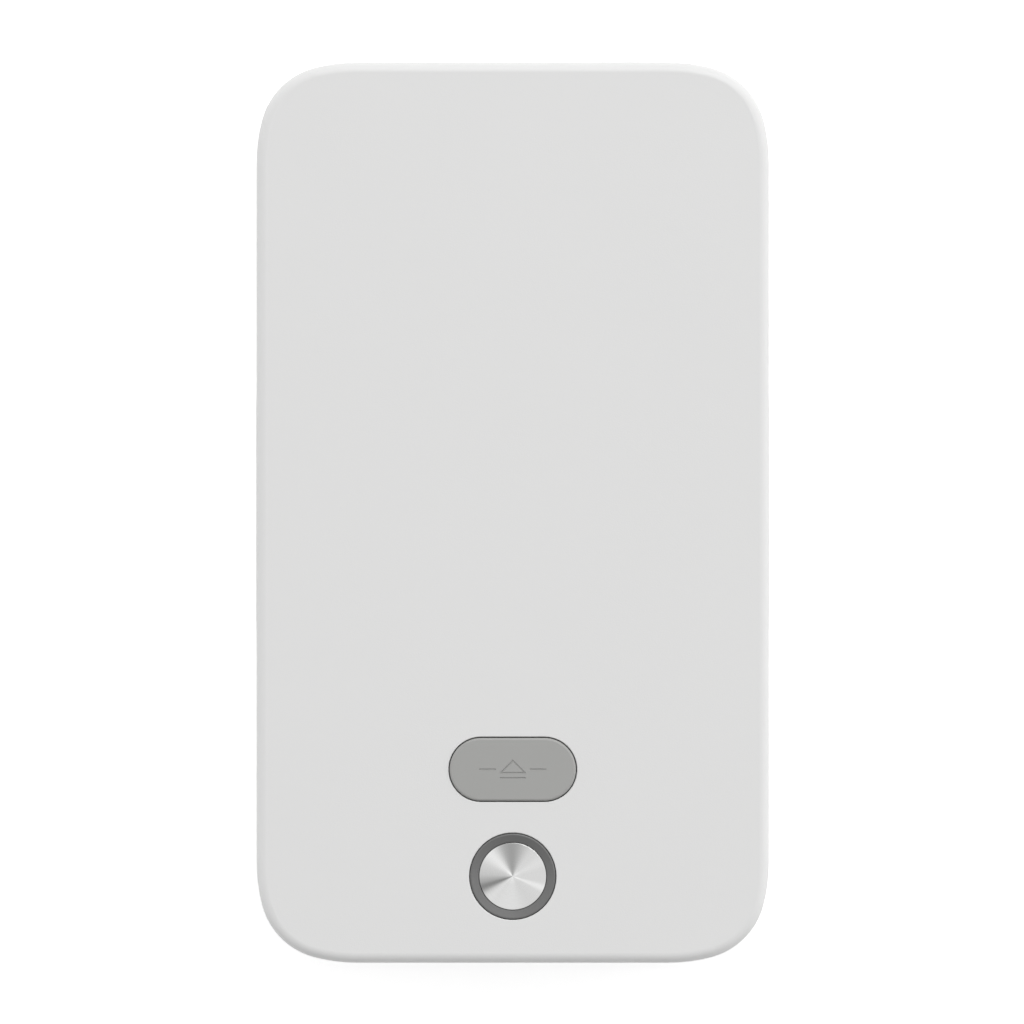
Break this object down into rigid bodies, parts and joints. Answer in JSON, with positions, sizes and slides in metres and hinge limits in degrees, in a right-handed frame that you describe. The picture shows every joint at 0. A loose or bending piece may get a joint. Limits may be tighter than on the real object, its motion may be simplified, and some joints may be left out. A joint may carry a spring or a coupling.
{
  "type": "label printer",
  "caption": "Handheld label printer with a flat body, hinged front cover with latch button, round power button, roll bay, platen, thermal head and geared motor.",
  "frame": {"origin": "middle of the back face, where the printer rests when it lies on its back", "axes": "+Z out of the front face, +Y along the body to the label exit end, +X across the body to the latch side"},
  "size_m": [0.0742, 0.1301, 0.0282],
  "materials": {
    "case_plastic": "fine-textured light grey moulded plastic",
    "frame_plastic": "dark grey moulded plastic",
    "button_plastic": "satin grey moulded plastic",
    "ring_plastic": "smoked semi-gloss light guide",
    "spun_metal": "turned with fine concentric marks",
    "white_plastic": "plain white acetal",
    "black_plastic": "black moulded plastic",
    "steel": "bright drawn steel",
    "spring_steel": "spring wire and strip",
    "screw_steel": "nickel-plated screw",
    "brass": "turned brass",
    "rubber": "ground platen rubber",
    "aluminium": "extruded heat sink",
    "ceramic": "glazed ceramic plate",
    "circuit_board": "green solder mask",
    "battery_foil": "silver laminated pouch",
    "wire_insulation": "soft insulated wire",
    "lamp": "clear small lamp"
  },
  "bodies": {
    "base": {"base_shell": "case_plastic", "chassis_frame": "frame_plastic", "chassis_screws": "screw_steel", "battery_pack": "battery_foil", "battery_lead": "wire_insulation", "roll_tag_antenna": "circuit_board", "main_board": "circuit_board", "board_screws": "screw_steel", "board_chips": "black_plastic", "board_connectors": "white_plastic", "radio_shield": "steel", "power_switch_body": "steel", "status_leds": "lamp", "usb_shell": "steel", "usb_tongue": "black_plastic", "hinge_pins": "steel", "keeper_springs": "spring_steel", "motor_body": "steel", "motor_screws": "screw_steel", "motor_lead": "wire_insulation", "idler_axle": "steel", "platen_bush": "brass", "head_pivot_pin": "steel", "head_spring": "spring_steel", "tear_blade": "steel", "gap_sensor": "black_plastic"},
    "cover": {"front_cover": "case_plastic", "cover_liner": "frame_plastic", "liner_screws": "screw_steel", "latch_housing": "frame_plastic", "housing_screws": "screw_steel", "light_ring": "ring_plastic", "open_button_springs": "spring_steel", "latch_spring": "spring_steel", "power_button_spring": "spring_steel"},
    "open_button": {"open_button": "button_plastic"},
    "latch": {"latch_slide": "white_plastic"},
    "power_button": {"power_button_disc": "spun_metal", "power_button_stem": "black_plastic", "power_button_clip": "spring_steel"},
    "switch_plunger": {"switch_plunger": "black_plastic"},
    "platen": {"platen_roller": "rubber", "platen_shaft": "steel", "platen_gear": "white_plastic"},
    "reduction_gear": {"reduction_gear": "white_plastic"},
    "motor_rotor": {"motor_shaft": "steel", "motor_pinion": "brass"},
    "print_head": {"head_arm": "aluminium", "thermal_head": "ceramic"}
  },
  "joints": [
    {"name": "cover_hinge", "type": "hinge", "parent": "base", "child": "cover", "pos_m": [-0.035, 0, 0.012], "axis": [0, -1, 0], "range_deg": [0, 105], "deforming": ["keeper_springs"]},
    {"name": "open_button_press", "type": "slide", "parent": "cover", "child": "open_button", "axis": [0, 0, -1], "range_m": [0, 0.0012], "stiffness_N_per_m": 700, "springref_m": -0.0008, "deforming": ["open_button_springs"]},
    {"name": "latch_travel", "type": "slide", "parent": "cover", "child": "latch", "axis": [-1, 0, 0], "range_m": [0, 0.0012], "deforming": ["latch_spring"]},
    {"name": "power_button_press", "type": "slide", "parent": "cover", "child": "power_button", "axis": [0, 0, -1], "range_m": [0, 0.0005], "stiffness_N_per_m": 900, "springref_m": -0.0006, "deforming": ["power_button_spring"]},
    {"name": "switch_plunger_press", "type": "slide", "parent": "base", "child": "switch_plunger", "axis": [0, 0, -1], "range_m": [0, 0.00032]},
    {"name": "platen_spin", "type": "hinge", "parent": "base", "child": "platen", "pos_m": [0.011, 0.05, 0.016], "axis": [0, 0, 1], "continuous": true},
    {"name": "reduction_gear_spin", "type": "hinge", "parent": "base", "child": "reduction_gear", "pos_m": [0.0015, 0.05, 0.005], "axis": [0, 0, 1], "continuous": true},
    {"name": "motor_rotor_spin", "type": "hinge", "parent": "base", "child": "motor_rotor", "pos_m": [-0.008, 0.05, 0.006], "axis": [0, 0, 1], "continuous": true},
    {"name": "print_head_swing", "type": "hinge", "parent": "base", "child": "print_head", "pos_m": [0.01835, 0.035, 0.016], "axis": [0, 0, -1], "range_deg": [0, 5], "stiffness_Nm_per_rad": 0.4, "springref_deg": -11.46, "deforming": ["head_spring"]}
  ],
  "couplings": [
    {"joint": "latch_travel", "follows": "open_button_press", "ratio": 1},
    {"joint": "switch_plunger_press", "follows": "power_button_press", "ratio": 0.64},
    {"joint": "reduction_gear_spin", "follows": "platen_spin", "ratio": -1.7143},
    {"joint": "motor_rotor_spin", "follows": "platen_spin", "ratio": 4.8}
  ]
}
